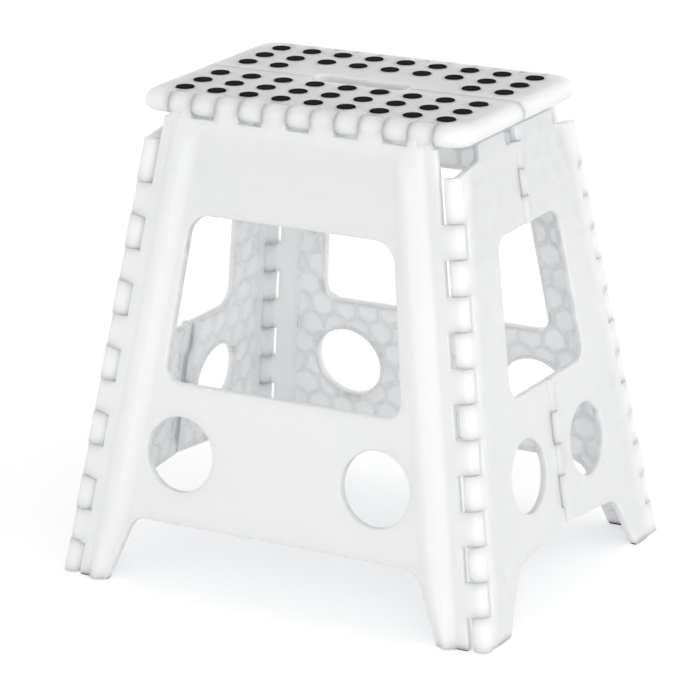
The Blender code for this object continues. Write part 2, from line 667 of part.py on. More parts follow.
def top_half_mesh(rear):
    """Front half of the top, or the mirror image of the rear half."""
    handle_depth = HANDLE_REAR if rear else HANDLE_FRONT
    knuckle = CENTRE_REAR_RADIUS if rear else CENTRE_FRONT_RADIUS
    other = CENTRE_FRONT_RADIUS if rear else CENTRE_REAR_RADIUS
    across = Vector((0, 1, 0))
    up = Vector((0, 0, 1))
    body = top_plate(handle_depth)

    bm = bmesh.new()
    swing = round_cut(TOP_EDGE_RADIUS + SWING_GAP, BARREL_SIDES)
    for first, last in TOP_STRETCHES[::2]:
        start = top_axis(first - KNUCKLE_CLEAR)
        end = top_axis(last + KNUCKLE_CLEAR)
        add_barrel(bm, start, end, swing, BARREL_SIDES)
        add_block(bm, start, end, across, (-swing, TOP_SEAM_BACK), up, (0, CUT_REACH))
    groove = round_cut(other + CENTRE_PLAY + GAP, BARREL_SIDES)
    groove_ends = [(side * (CENTRE_START - TOP_RIB), side * (TOP_RUN / 2 + TOP_RIB)) for side in (-1, 1)]
    for start, end in groove_ends:
        add_barrel(bm, centre_axis(start), centre_axis(end), groove, BARREL_SIDES)
    relief = round_cut(CENTRE_PLAY + GAP, BARREL_SIDES)
    add_barrel(bm, centre_axis(-TOP_LENGTH), centre_axis(TOP_LENGTH), relief, BARREL_SIDES)
    body = combine(body, bm, "DIFFERENCE")

    bm = bmesh.new()
    stretches = CENTRE_STRETCHES[0::2] if rear else CENTRE_STRETCHES[1::2]
    stretches = stretches + [(-last, -first) for first, last in stretches]
    add_knuckles(bm, stretches, centre_axis, knuckle)
    for first, last in stretches:
        start = centre_axis(first + 2 * KNUCKLE_SHORT)
        end = centre_axis(last - 2 * KNUCKLE_SHORT)
        add_block(bm, start, end, -across, (CENTRE_ROD_RADIUS, groove + TOP_RIB), up, (GAP, CENTRE_WEB))
    body = combine(body, bm, "UNION")

    bm = bmesh.new()
    bore = round_cut(TOP_ROD_RADIUS + GAP, BORE_SIDES)
    inside_noses = TOP_RUN / 2 + KNUCKLE_CLEAR
    add_barrel(bm, top_axis(-inside_noses), top_axis(inside_noses), bore, BORE_SIDES)
    play = 0 if rear else CENTRE_PLAY
    bore = round_cut(CENTRE_ROD_RADIUS + GAP + play, BORE_SIDES)
    for start, end in groove_ends:
        add_barrel(bm, centre_axis(start), centre_axis(end), bore, BORE_SIDES)
    near = max(handle_depth + HANDLE_WALL, groove + TOP_RIB)
    for bay in top_bays(near):
        add_slab(bm, bay, [], CENTRE_Z - TOP_SKIN, SKIN_UNDERSIDE, KEEP)
    for row in range(DOT_ROWS):
        add_dots(bm, dot_row(row, rear), GAP, RUNNER_BOTTOM - GAP, SKIN_UNDERSIDE)
    return combine(body, bm, "DIFFERENCE")


def dots_mesh(row, rear):
    """A row of grip dots on the top's front half, or the mirror image of the rear half's."""
    bm = bmesh.new()
    add_dots(bm, dot_row(row, rear), 0, RUNNER_BOTTOM, RUNNER_TOP)
    empty = bpy.data.meshes.new("work")
    return combine(empty, bm, "UNION")


def front_pad_mesh():
    """Pad under the front panel's right foot."""
    line = corner(FLOOR_CUT)
    inner = line.x - FOOT_WIDTH + PAD_INSET
    outer = line.x - CORNER_SIDE_RADIUS - PANEL_NOTCH_GAP - PAD_INSET
    back = line.y - PAD_INSET / math.cos(LEAN)
    front = line.y - (STRIP_FACE - PAD_INSET) / math.cos(LEAN)
    sole = [Vector((inner, front)), Vector((outer, front)), Vector((outer, back)), Vector((inner, back))]
    bm = bmesh.new()
    add_slab(bm, sole, [], 0, PAD_HEIGHT, KEEP)
    return mesh_of(bm)


def side_pad_mesh():
    """Pad under the right front side half's foot."""
    line = corner(FLOOR_CUT)
    first = line.y + 2 * CORNER_SIDE_RADIUS
    last = line.y + SIDE_FOOT_WIDTH - PAD_INSET
    inner = line.x + PAD_INSET / math.cos(SLOPE)
    outer = line.x + (SIDE_FACE - PAD_INSET) / math.cos(SLOPE)
    sole = [Vector((inner, first)), Vector((outer, first)), Vector((outer, last)), Vector((inner, last))]
    bm = bmesh.new()
    add_slab(bm, sole, [], 0, PAD_HEIGHT, KEEP)
    return mesh_of(bm)


def rod_mesh(start, end, radius):
    """Hinge rod between two points, a little short of both."""
    short = (end - start).normalized() * ROD_SHORT
    bm = bmesh.new()
    add_barrel(bm, start + short, end - short, radius, ROD_SIDES)
    return mesh_of(bm)


def material(name, colour, roughness, metallic):
    """Plain Principled material."""
    made = bpy.data.materials.new(name)
    made.use_nodes = True
    shader = made.node_tree.nodes["Principled BSDF"]
    shader.inputs["Base Color"].default_value = (*colour, 1)
    shader.inputs["Roughness"].default_value = roughness
    shader.inputs["Metallic"].default_value = metallic
    return made


def piece(name, model, mirror, pivot, finish, parent=None):
    """Named object with its origin at a pivot point, from a copy of a mesh in the stool's own coordinates."""
    place = mirror @ pivot
    mesh = model.copy()
    mesh.name = name
    mesh.transform(mirror)
    if mirror.determinant() < 0:
        mesh.flip_normals()
    mesh.transform(Matrix.Translation(-place))
    mesh.materials.clear()
    mesh.materials.append(finish)
    mesh.shade_smooth()
    mesh.set_sharp_from_angle(angle=math.radians(SMOOTH_ANGLE))
    made = bpy.data.objects.new(name, mesh)
    made.location = place
    bpy.context.scene.collection.objects.link(made)
    if parent:
        made.parent = parent
        made.matrix_parent_inverse = Matrix.Translation(-parent.location)
    return made


def build():
    """Makes every piece of the stool."""
    for item in list(bpy.data.objects):
        bpy.data.objects.remove(item)
    white = material("white_plastic", (0.83, 0.84, 0.85), 0.42, 0)
    black = material("black_rubber", (0.012, 0.012, 0.014), 0.7, 0)
    grey = material("grey_rubber", (0.05, 0.05, 0.05), 0.75, 0)
    steel = material("rod_steel", (0.56, 0.57, 0.58), 0.35, 1)
    top_pivot = top_axis(0)
    corner_pivot = corner(HINGE_Z)
    panel_mesh = front_panel_mesh()
    pad = front_pad_mesh()
    top_rod = rod_mesh(top_axis(-TOP_RUN / 2), top_axis(TOP_RUN / 2), TOP_ROD_RADIUS)

    carriers = {}
    for end, mirror in (("front", KEEP), ("rear", MIRROR_Y)):
        rear = end == "rear"
        panel = piece(f"{end}_panel", panel_mesh, mirror, top_pivot, white)
        carriers[end] = panel
        for hand, flip in (("right", KEEP), ("left", MIRROR_X)):
            piece(f"{end}_{hand}_pad", pad, mirror @ flip, corner(0), grey, panel)
        piece(f"{end}_top_rod", top_rod, mirror, top_pivot, steel, panel)
        half = piece(f"top_{end}", top_half_mesh(rear), mirror, top_pivot, white)
        carriers[f"top_{end}"] = half
        for row in range(DOT_ROWS):
            piece(f"{end}_dots_{row + 1}", dots_mesh(row, rear), mirror, top_pivot, black, half)

    side_meshes = {"front": side_half_mesh(True), "rear": side_half_mesh(False)}
    pad = side_pad_mesh()
    corner_rod = rod_mesh(corner(CORNER_TOP), corner(CORNER_ROD_BOTTOM), CORNER_ROD_RADIUS)
    for hand, flip in (("right", KEEP), ("left", MIRROR_X)):
        for end, mirror in (("front", flip), ("rear", flip @ MIRROR_Y)):
            half = piece(f"{hand}_{end}_side", side_meshes[end], mirror, corner_pivot, white)
            piece(f"{hand}_{end}_side_pad", pad, mirror, corner(0), grey, half)
            piece(f"{hand}_{end}_corner_rod", corner_rod, mirror, corner_pivot, steel, carriers[end])
        for level, stretches in (("upper", SIDE_UPPER), ("lower", SIDE_LOWER)):
            rod = rod_mesh(side_axis(stretches[0][0]), side_axis(stretches[-1][1]), SIDE_ROD_RADIUS)
            piece(f"{hand}_{level}_rod", rod, flip, side_axis(SIDE_UPPER_TOP), steel, half)

    rod = rod_mesh(centre_axis(CENTRE_START), centre_axis(TOP_RUN / 2), CENTRE_ROD_RADIUS)
    for hand, flip in (("right", KEEP), ("left", MIRROR_X)):
        piece(f"{hand}_centre_rod", rod, flip, centre_axis(0), steel, carriers["top_rear"])


build()
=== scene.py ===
"""Folding step stool in a plain white studio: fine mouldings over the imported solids, with their finishes.

Lengths are in metres. X runs along the top, the front panel faces -Y and the floor is z = 0.
"""
import json
import math

import bmesh
import bpy
from mathutils import Matrix, Vector


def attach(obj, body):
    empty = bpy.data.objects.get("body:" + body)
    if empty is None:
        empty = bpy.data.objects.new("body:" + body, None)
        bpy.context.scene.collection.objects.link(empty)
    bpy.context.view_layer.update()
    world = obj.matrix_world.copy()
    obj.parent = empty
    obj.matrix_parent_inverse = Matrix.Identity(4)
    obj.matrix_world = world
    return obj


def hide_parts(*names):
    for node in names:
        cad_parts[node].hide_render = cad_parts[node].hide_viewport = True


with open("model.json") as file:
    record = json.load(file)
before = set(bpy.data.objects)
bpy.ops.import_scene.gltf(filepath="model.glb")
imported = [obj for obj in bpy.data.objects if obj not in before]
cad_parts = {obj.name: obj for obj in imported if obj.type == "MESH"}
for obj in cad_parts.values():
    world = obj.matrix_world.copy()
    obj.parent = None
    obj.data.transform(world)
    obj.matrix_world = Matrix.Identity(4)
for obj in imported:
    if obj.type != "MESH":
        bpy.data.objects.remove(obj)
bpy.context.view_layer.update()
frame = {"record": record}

# Top
TOP_HEIGHT = 0.448
TOP_LENGTH = 0.330
TOP_DEPTH = 0.231
TOP_THICKNESS = 0.0185
TOP_EDGE_RADIUS = 0.0105
TOP_UNDER_RADIUS = 0.0075
TOP_CORNER_RADIUS = 0.022
TOP_SKIN = 0.0035
TOP_RIM = 0.012
TOP_RIB = 0.0025
HANDLE_LENGTH = 0.096
HANDLE_FRONT = 0.012
HANDLE_REAR = 0.015
HANDLE_RADIUS = 0.011
HANDLE_WALL = 0.003

# Grip dots
DOT_RADIUS = 0.0085
DOT_PITCH = 0.033
DOT_COLUMNS = 9
DOT_ROWS = 3
DOT_ROW_FIRST = 0.0246
DOT_ROW_PITCH = 0.0305
DOT_PROUD = 0.0008
DOT_DEPTH = 0.0045
DOT_SOFT = 0.0006
HANDLE_FREE_DOTS = 5

# Front and rear panels
LEG_LEAN = math.radians(8.5)
PANEL_FACE = 0.010
PANEL_SKIN = 0.003
STRIP_FACE = 0.0075
STRIP_WIDTH = 0.024
STRIP_TUCK = 0.010
SWELL_OUTER = 0.020
SWELL_INNER = 0.056
SWELL_CREST_SHARE = 0.55
SWELL_HEIGHT = 0.0045
SWELL_SUNK = 0.00015
SWELL_FADE = 0.030
SWELL_COLUMNS = 24
SWELL_ROWS = 40
RAIL_HEIGHT = 0.0945
WINDOW_BOTTOM = 0.190
WINDOW_STILE_TOP = 0.0577
WINDOW_STILE_BOTTOM = 0.0618
WINDOW_TOP_RADIUS = 0.022
WINDOW_BOTTOM_RADIUS = 0.014
HOLE_HEIGHT = 0.126
HOLE_INSET = 0.0932
HOLE_RADIUS = 0.0347
ARCH_HEIGHT = 0.062
ARCH_RADIUS = 0.020
LEG_WIDTH = 0.0572
FOOT_WIDTH = 0.0420

# Side halves
SIDE_LEAN = math.radians(8.6)
CORNER_INSET = 0.0186
SIDE_FACE = 0.0076
SIDE_TOP_GAP = 0.0045
SIDE_TAB_INSET = 0.0369
SIDE_TAB_RADIUS = 0.006
SIDE_NOTCH_WIDTH = 0.023
SIDE_NOTCH_DEPTH = 0.014
SIDE_RAIL_HEIGHT = 0.087
SIDE_WINDOW_BOTTOM = 0.195
SIDE_STILE_TOP = 0.0609
SIDE_STILE_BOTTOM = 0.0662
SIDE_WINDOW_RADIUS = 0.016
SIDE_HOLE_HEIGHT = 0.1235
SIDE_HOLE_INSET = 0.0933
SIDE_HOLE_RADIUS = 0.0338
SIDE_ARCH_HEIGHT = 0.063
SIDE_ARCH_SHOULDER = 0.010
SIDE_LEG_WIDTH = 0.0645
SIDE_FOOT_WIDTH = 0.0409

# Hinges
TOP_NOSE = 0.032
TOP_KNUCKLES = 11
TOP_SEAM_BACK = 0.0065
TOP_ROD_RADIUS = 0.002
CORNER_KNUCKLES = 13
CORNER_DROP = 0.0335
CORNER_FIRST_KNUCKLE = 0.0389
CORNER_LAST_KNUCKLE = 0.0306
CORNER_BOTTOM = -0.001
CORNER_PANEL_RADIUS = 0.0073
CORNER_SIDE_RADIUS = 0.0081
CORNER_ROD_BOTTOM = 0.006
CORNER_ROD_RADIUS = 0.0018
SIDE_BARREL_RADIUS = 0.005
SIDE_BARREL_SQUASH = 0.52
SIDE_ROD_RADIUS = 0.0015
SIDE_UPPER_KNUCKLES = 3
SIDE_LOWER_KNUCKLES = 4
SIDE_HINGE_MARGIN = 0.0146
CENTRE_REAR_RADIUS = 0.0055
CENTRE_FRONT_RADIUS = 0.0075
CENTRE_ROD_RADIUS = 0.002
CENTRE_KNUCKLES = 5
CENTRE_HANDLE_GAP = 0.009
CENTRE_WEB = 0.007
ROD_SHORT = 0.001

# Honeycomb of the backs
CELL_PITCH = 0.025
CELL_WALL = 0.0026
CELL_RIM = 0.0022
CELL_DEPTH = 0.004
CELL_CORNER = 0.0035
CELL_FLOOR_ROUND = 0.0028

# Foot pads
PAD_HEIGHT = 0.0012
PAD_INSET = 0.0012
PAD_SOFT = 0.0003

# Clearances
GAP = 0.0003
KNUCKLE_SHORT = 0.00025
KNUCKLE_CLEAR = 0.00015
SWING_GAP = 0.0005
NOTCH_GAP = 0.0009
PANEL_NOTCH_GAP = 0.003
SIDE_PLAY = 0.0005
CENTRE_PLAY = 0.0034

# Rounding of moulded rims, and steps of curves
FACE_SOFT = 0.0012
BACK_SOFT = 0.0006
KNUCKLE_SOFT = 0.0005
KNUCKLE_STEPS = 2
SOFT_STEPS = 3
EDGE_STEPS = 8
ARC_STEPS_LEAST = 3
ARC_STEPS_MOST = 12
ARC_STEPS_PER_METRE = 700
HOLE_SIDES = 72
BARREL_SIDES = 30
ROD_SIDES = 20
DOT_SIDES = 40
SHARP_ANGLE = math.radians(38)

# How far a plate runs below the floor before its foot is cut, and a cutter past what it cuts
BELOW = 0.02
REACH = 0.022

# Light of the studio, and the share of the plastic's light that passes through its walls
KEY_PLACE = (1.7, -2.6, 1.25)
KEY_SIZE = 2.0
KEY_POWER = 15
HORIZON_LEVEL = 1.52
OVERHEAD_LEVEL = 0.40
LEFT_SHARE = 0.75
RIGHT_SHARE = 1.25
FLOOR_LIFT = 0.32
FLOOR_REACH = 12
MIDDLE = (0, 0, 0.22)
GLOW_SHARE = 1.0

# Camera
CAMERA_PLACE = (1.581, -2.8405, 1.2287)
CAMERA_AZIMUTH = math.radians(29.305)
CAMERA_ELEVATION = math.radians(17.624)
CAMERA_ROLL = math.radians(-0.512)
CAMERA_LENS_MM = 190.99
CAMERA_SENSOR_MM = 36
CAMERA_CLIP = 50

# Worked out from the sizes above
HINGE_Y = TOP_DEPTH / 2 - TOP_EDGE_RADIUS
HINGE_Z = TOP_HEIGHT - TOP_EDGE_RADIUS
CENTRE_Z = TOP_HEIGHT - TOP_THICKNESS
SIDE_OFFSET = HINGE_Z - CENTRE_Z
CORNER_X = TOP_LENGTH / 2 - CORNER_INSET
FLOOR_CUT = PAD_HEIGHT + GAP
WINDOW_TOP = HINGE_Z - RAIL_HEIGHT
CORNER_TOP = HINGE_Z - CORNER_DROP
SIDE_TOP = CENTRE_Z - SIDE_TOP_GAP
SIDE_UPPER_TOP = SIDE_TOP - SIDE_NOTCH_DEPTH
SIDE_WINDOW_TOP = SIDE_TOP - SIDE_RAIL_HEIGHT
SKIN_UNDERSIDE = TOP_HEIGHT - TOP_SKIN
TOP_RUN = TOP_LENGTH - 2 * TOP_NOSE
SWING = TOP_EDGE_RADIUS + SWING_GAP
PANEL_NOTCH = CORNER_SIDE_RADIUS + PANEL_NOTCH_GAP
CORNER_SECOND = CORNER_TOP - CORNER_FIRST_KNUCKLE
CORNER_LAST = CORNER_BOTTOM + CORNER_LAST_KNUCKLE
FIELD_INSET = STRIP_WIDTH + STRIP_TUCK / 2
CENTRE_START = HANDLE_LENGTH / 2 + CENTRE_HANDLE_GAP

KEEP = Matrix.Identity(4)
MIRROR_X = Matrix.Diagonal((-1, 1, 1, 1))
MIRROR_Y = Matrix.Diagonal((1, -1, 1, 1))
OUT = Vector((0, 0, 1))


def corner(z):
    """Point of the front right corner hinge's axis at a height."""
    drop = HINGE_Z - z
    return Vector((CORNER_X + drop * math.tan(SIDE_LEAN), -HINGE_Y - drop * math.tan(LEG_LEAN), z))


def plane_of(across, up, origin):
    """Matrix from flat coordinates (across, up, outward) to the stool's own."""
    turn = Matrix((across, up, across.cross(up))).transposed().to_4x4()
    return Matrix.Translation(origin) @ turn


FRONT_UP = Vector((0, math.sin(LEG_LEAN), math.cos(LEG_LEAN)))
FRONT = plane_of(Vector((1, 0, 0)), FRONT_UP, Vector((0, -HINGE_Y, HINGE_Z)))
SIDE_UP = Vector((-math.sin(SIDE_LEAN), 0, math.cos(SIDE_LEAN)))
SIDE = plane_of(Vector((0, 1, 0)), SIDE_UP, Vector((corner(0).x, 0, 0)))


def leg_line(z, inset):
    """Flat point on the front panel at a distance inside its corner hinge."""
    return Vector((corner(z).x - inset, (z - HINGE_Z) / math.cos(LEG_LEAN)))


def on_side(y, z):
    """Flat point on the right side at a height."""
    return Vector((y, z / math.cos(SIDE_LEAN)))


def side_line(z, inset):
    """Flat point on the right side at a distance inside its front corner hinge."""
    return on_side(corner(z).y + inset, z)


def side_axis(z):
    """Flat point of the right side's middle hinge's axis at a height."""
    return Vector((0, on_side(0, z).y, SIDE_OFFSET))


def top_axis(x):
    """Point of the front edge's hinge axis."""
    return Vector((x, -HINGE_Y, HINGE_Z))


def centre_axis(x):
    """Point of the axis of the top's middle hinge."""
    return Vector((x, 0, CENTRE_Z))


def spans(first, last, count):
    """Neighbouring stretches of a hinge line, as (start, end) distances."""
    step = (last - first) / count
    return [(first + step * index, first + step * (index + 1)) for index in range(count)]


TOP_STRETCHES = spans(-TOP_RUN / 2, TOP_RUN / 2, TOP_KNUCKLES)
CORNER_STRETCHES = [(CORNER_TOP, CORNER_SECOND), *spans(CORNER_SECOND, CORNER_LAST, CORNER_KNUCKLES - 2),
                    (CORNER_LAST, CORNER_BOTTOM)]
SIDE_UPPER = spans(SIDE_UPPER_TOP, SIDE_WINDOW_TOP, SIDE_UPPER_KNUCKLES)
SIDE_LOWER = spans(SIDE_WINDOW_BOTTOM, SIDE_ARCH_HEIGHT + SIDE_HINGE_MARGIN, SIDE_LOWER_KNUCKLES)
CENTRE_STRETCHES = spans(CENTRE_START, TOP_RUN / 2, CENTRE_KNUCKLES)


def arc_steps(radius):
    """Steps of a rounded corner: more on a larger one."""
    return max(ARC_STEPS_LEAST, min(ARC_STEPS_MOST, round(radius * ARC_STEPS_PER_METRE)))


def fillet(corners):
    """Outline through (point, radius) corners, each rounded by an arc."""
    outline = []
    count = len(corners)
    for index, (point, radius) in enumerate(corners):
        if radius == 0:
            outline.append(point)
            continue
        before = corners[index - 1][0] - point
        after = corners[(index + 1) % count][0] - point
        half = before.angle(after) / 2
        reach = min(radius / math.tan(half), before.length / 2, after.length / 2)
        bow = reach * math.tan(half)
        first = point + before.normalized() * reach
        last = point + after.normalized() * reach
        middle = point + (before.normalized() + after.normalized()).normalized() * (reach / math.cos(half))
        sweep = (first - middle).angle_signed(last - middle)
        steps = arc_steps(radius)
        for step in range(steps + 1):
            spoke = Matrix.Rotation(-sweep * step / steps, 2) @ (first - middle)
            outline.append(middle + spoke.normalized() * bow)
    return [point for index, point in enumerate(outline) if (point - outline[index - 1]).length > 1e-6]


def mirrored(half):
    """Whole outline of (point, radius) corners from its right half."""
    return half + [(Vector((-point.x, point.y)), radius) for point, radius in reversed(half)]


def circle(centre, radius, sides):
    """Outline of a round hole."""
    turns = [2 * math.pi * index / sides for index in range(sides)]
    return [centre + Vector((math.cos(turn), math.sin(turn))) * radius for turn in turns]


def drawn_in(outline, distance):
    """Outline moved inward all round, or outward where the distance is negative."""
    area = sum(outline[index - 1].cross(point) for index, point in enumerate(outline))
    inward = distance if area > 0 else -distance
    moved = []
    for index, point in enumerate(outline):
        before = (point - outline[index - 1]).normalized()
        after = (outline[(index + 1) % len(outline)] - point).normalized()
        bisector = (before.orthogonal() + after.orthogonal()).normalized()
        moved.append(point + bisector * (inward / bisector.dot(after.orthogonal())))
    return moved


def add_ring(bm, outline, height):
    """Adds a closed loop of edges at a height."""
    ring = [bm.verts.new((point.x, point.y, height)) for point in outline]
    return [bm.edges.new((ring[index - 1], ring[index])) for index in range(len(ring))]


def add_walls(bm, outline, levels):
    """Adds the walls between an outline's rings at (inset, height) levels; gives the two end rings."""
    rings = [add_ring(bm, drawn_in(outline, inset), height) for inset, height in levels]
    for lower, upper in zip(rings, rings[1:]):
        bmesh.ops.bridge_loops(bm, edges=lower + upper)
    return rings[0], rings[-1]


def quarter(steps):
    """Angles of the steps of a quarter round."""
    return [math.pi / 2 * step / steps for step in range(steps + 1)]


def rim_levels(low, high):
    """Steps of a moulded plate's walls, with rounded rims at its back and face."""
    back = [(BACK_SOFT * (1 - math.sin(turn)), low + BACK_SOFT * (1 - math.cos(turn)))
            for turn in quarter(SOFT_STEPS)]
    return back + [(FACE_SOFT * (1 - math.cos(turn)), high - FACE_SOFT * (1 - math.sin(turn)))
                   for turn in quarter(SOFT_STEPS)]


def add_plate(bm, outer, holes, levels):
    """Adds a plate with holes; levels are the (inset, height) steps of its walls."""
    back, face = add_walls(bm, outer, levels)
    for hole in holes:
        first, last = add_walls(bm, hole, [(-inset, height) for inset, height in levels])
        back += first
        face += last
    bmesh.ops.triangle_fill(bm, edges=back, use_beauty=True, normal=-OUT)
    bmesh.ops.triangle_fill(bm, edges=face, use_beauty=True, normal=OUT)
    bmesh.ops.recalc_face_normals(bm, faces=bm.faces)


def add_slab(bm, outline, low, high, soft=0.0):
    """Adds a flat slab from low to high, with its upper and lower rims rounded."""
    base = bm.faces.new([bm.verts.new((point.x, point.y, low)) for point in outline])
    lifted = bmesh.ops.extrude_face_region(bm, geom=[base])["geom"]
    raised = [item for item in lifted if isinstance(item, bmesh.types.BMVert)]
    bmesh.ops.translate(bm, verts=raised, vec=OUT * (high - low))
    faces = {face for vert in list(base.verts) + raised for face in vert.link_faces}
    bmesh.ops.recalc_face_normals(bm, faces=list(faces))
    if soft:
        rims = {edge for face in faces for edge in face.edges
                if abs(edge.verts[0].co.z - edge.verts[1].co.z) < GAP}
        bmesh.ops.bevel(bm, geom=list(rims), offset=soft, segments=SOFT_STEPS, profile=0.5, affect="EDGES",
                        material=-1, clamp_overlap=True)


def add_barrel(bm, start, end, radius, sides, soft=0.0):
    """Adds a closed cylinder between two points, with its ends rounded."""
    axis = end - start
    turn = axis.to_track_quat("Z", "Y").to_matrix().to_4x4()
    place = Matrix.Translation((start + end) / 2) @ turn @ Matrix.Rotation(math.pi / sides / 2, 4, "Z")
    made = bmesh.ops.create_cone(bm, cap_ends=True, segments=sides, radius1=radius, radius2=radius,
                                 depth=axis.length, matrix=place)
    if soft:
        caps = {face for vert in made["verts"] for face in vert.link_faces if len(face.verts) > 4}
        rims = {edge for face in caps for edge in face.edges}
        bmesh.ops.bevel(bm, geom=list(rims), offset=soft, segments=KNUCKLE_STEPS, profile=0.5,
                        affect="EDGES", material=-1, clamp_overlap=True)


def add_block(bm, start, end, across, reach, outward, depth):
    """Adds a box along a line: reach is its span across the line, depth its span outward."""
    along = (end - start).normalized()
    turn = Matrix((along, across, outward)).transposed().to_4x4()
    size = Matrix.Diagonal(((end - start).length, reach[1] - reach[0], depth[1] - depth[0], 1))
    centre = (start + end) / 2 + across * sum(reach) / 2 + outward * sum(depth) / 2
    made = bmesh.ops.create_cube(bm, size=1, matrix=Matrix.Translation(centre) @ turn @ size)
    faces = {face for vert in made["verts"] for face in vert.link_faces}
    bmesh.ops.recalc_face_normals(bm, faces=list(faces))


def add_knuckles(bm, stretches, at, radius):
    """Adds one barrel in each stretch of a hinge line; at gives the line's point at a distance."""
    for first, last in stretches:
        toward = math.copysign(KNUCKLE_SHORT, last - first)
        add_barrel(bm, at(first + toward), at(last - toward), radius, BARREL_SIDES, KNUCKLE_SOFT)


def mesh_of(bm):
    """Mesh that holds what a bmesh holds, which is then freed."""
    mesh = bpy.data.meshes.new("work")
    bm.to_mesh(mesh)
    bm.free()
    return mesh


def combine(body, tool, operation, crossing=True):
    """Joins two meshes, cuts one away or keeps what they share; crossing lets a mesh overlap itself."""
    target = bpy.data.objects.new("target", body)
    other = bpy.data.objects.new("other", tool)
    for item in (target, other):
        bpy.context.scene.collection.objects.link(item)
    modifier = target.modifiers.new("combine", "BOOLEAN")
    modifier.operation = operation
    modifier.object = other
    modifier.use_self = crossing
    graph = bpy.context.evaluated_depsgraph_get()
    result = bpy.data.meshes.new_from_object(target.evaluated_get(graph))
    for item in (target, other):
        spent = item.data
        bpy.data.objects.remove(item)
        bpy.data.meshes.remove(spent)
    return result


def stand(mesh, place):
    """Puts a flat moulding in its place on the stool and cuts its foot level above the pad."""
    bm = bmesh.new()
    bm.from_mesh(mesh)
    bmesh.ops.transform(bm, matrix=place, verts=bm.verts)
    bmesh.ops.bisect_plane(bm, geom=bm.verts[:] + bm.edges[:] + bm.faces[:], plane_co=OUT * FLOOR_CUT,
                           plane_no=-OUT, clear_outer=True)
    sole = [edge for edge in bm.edges if edge.is_boundary]
    bmesh.ops.triangle_fill(bm, edges=sole, use_beauty=True, normal=-OUT)
    bm.to_mesh(mesh)
    bm.free()
    return mesh


def inside(point, loop):
    """Whether a flat point lies within an outline."""
    odd = False
    for index, here in enumerate(loop):
        there = loop[index - 1]
        if (here.y > point.y) != (there.y > point.y):
            cross = here.x + (point.y - here.y) / (there.y - here.y) * (there.x - here.x)
            odd = odd != (point.x < cross)
    return odd


def cell_corners():
    """Corners of one hexagonal cell round its centre."""
    radius = (CELL_PITCH - CELL_WALL) / math.sqrt(3)
    turns = [math.pi / 3 * index for index in range(6)]
    return [Vector((math.sin(turn), math.cos(turn))) * radius for turn in turns]


def cell_hollow():
    """Mesh of one rounded hexagonal hollow, as it is cut into a plate's back."""
    floor = GAP + CELL_DEPTH
    levels = [(0, -GAP), (0, GAP), (BACK_SOFT, GAP + BACK_SOFT)]
    for turn in quarter(SOFT_STEPS):
        levels.append((BACK_SOFT + CELL_FLOOR_ROUND * (1 - math.cos(turn)),
                       floor - CELL_FLOOR_ROUND * (1 - math.sin(turn))))
    bm = bmesh.new()
    for ring in add_walls(bm, fillet([(point, CELL_CORNER) for point in cell_corners()]), levels):
        bmesh.ops.contextual_create(bm, geom=ring)
    bmesh.ops.recalc_face_normals(bm, faces=bm.faces)
    return mesh_of(bm)


def honeycomb(field, holes):
    """Mesh of the hollows in a plate's back, cut off at the field's edge and round its holes."""
    row_step = CELL_PITCH * math.sqrt(3) / 2
    left = min(point.x for point in field)
    bottom = min(point.y for point in field)
    width = max(point.x for point in field) - left
    height = max(point.y for point in field) - bottom
    columns = math.ceil(width / CELL_PITCH) + 2
    start_x = left + width / 2 - CELL_PITCH * (columns // 2)
    cell = cell_hollow()
    bm = bmesh.new()
    for row in range(math.ceil(height / row_step) + 1):
        for column in range(columns):
            centre = Vector((start_x + (column + row % 2 / 2) * CELL_PITCH, bottom + row * row_step))
            if any(inside(centre + point, field) for point in cell_corners()):
                hollow = cell.copy()
                hollow.transform(Matrix.Translation(centre.to_3d()))
                bm.from_mesh(hollow)
                bpy.data.meshes.remove(hollow)
    cells = mesh_of(bm)
    bm = bmesh.new()
    add_plate(bm, field, holes, [(CELL_RIM, -REACH), (CELL_RIM, REACH)])
    return combine(cells, mesh_of(bm), "INTERSECT", False)


def notched_edge(at, inward, cuts, notch):
    """Plate edge along a corner hinge: out to the axis, and set back beside the neighbour's knuckles."""
    edge = []
    for first, last in cuts:
        upper = at(first + KNUCKLE_CLEAR, 0)
        lower = at(last - KNUCKLE_CLEAR, 0)
        edge += [upper, upper + inward * notch, lower + inward * notch, lower]
    return edge


def front_openings():
    """Window and round holes of the front panel."""
    window = [(leg_line(WINDOW_TOP, WINDOW_STILE_TOP), WINDOW_TOP_RADIUS),
              (leg_line(WINDOW_BOTTOM, WINDOW_STILE_BOTTOM), WINDOW_BOTTOM_RADIUS)]
    right = leg_line(HOLE_HEIGHT, HOLE_INSET)
    holes = [circle(Vector((side * right.x, right.y)), HOLE_RADIUS, HOLE_SIDES) for side in (-1, 1)]
    return [fillet(mirrored(window)), *holes]


def front_field():
    """Outline of the front panel between its strips, with the arch and gaps for the top's knuckles."""
    crest = []
    for first, last in TOP_STRETCHES[TOP_KNUCKLES // 2 + 1::2]:
        first += KNUCKLE_CLEAR
        last = min(last - KNUCKLE_CLEAR, leg_line(HINGE_Z, FIELD_INSET).x)
        crest += [Vector((first, -SWING)), Vector((first, 0)), Vector((last, 0)), Vector((last, -SWING))]
    crest.pop()
    foot = leg_line(FLOOR_CUT, FOOT_WIDTH)
    half = [(point, 0) for point in crest]
    half += [(leg_line(-BELOW, FIELD_INSET), 0), (Vector((foot.x, leg_line(-BELOW, 0).y)), 0), (foot, 0),
             (leg_line(ARCH_HEIGHT, LEG_WIDTH), ARCH_RADIUS)]
    return fillet(mirrored(half))


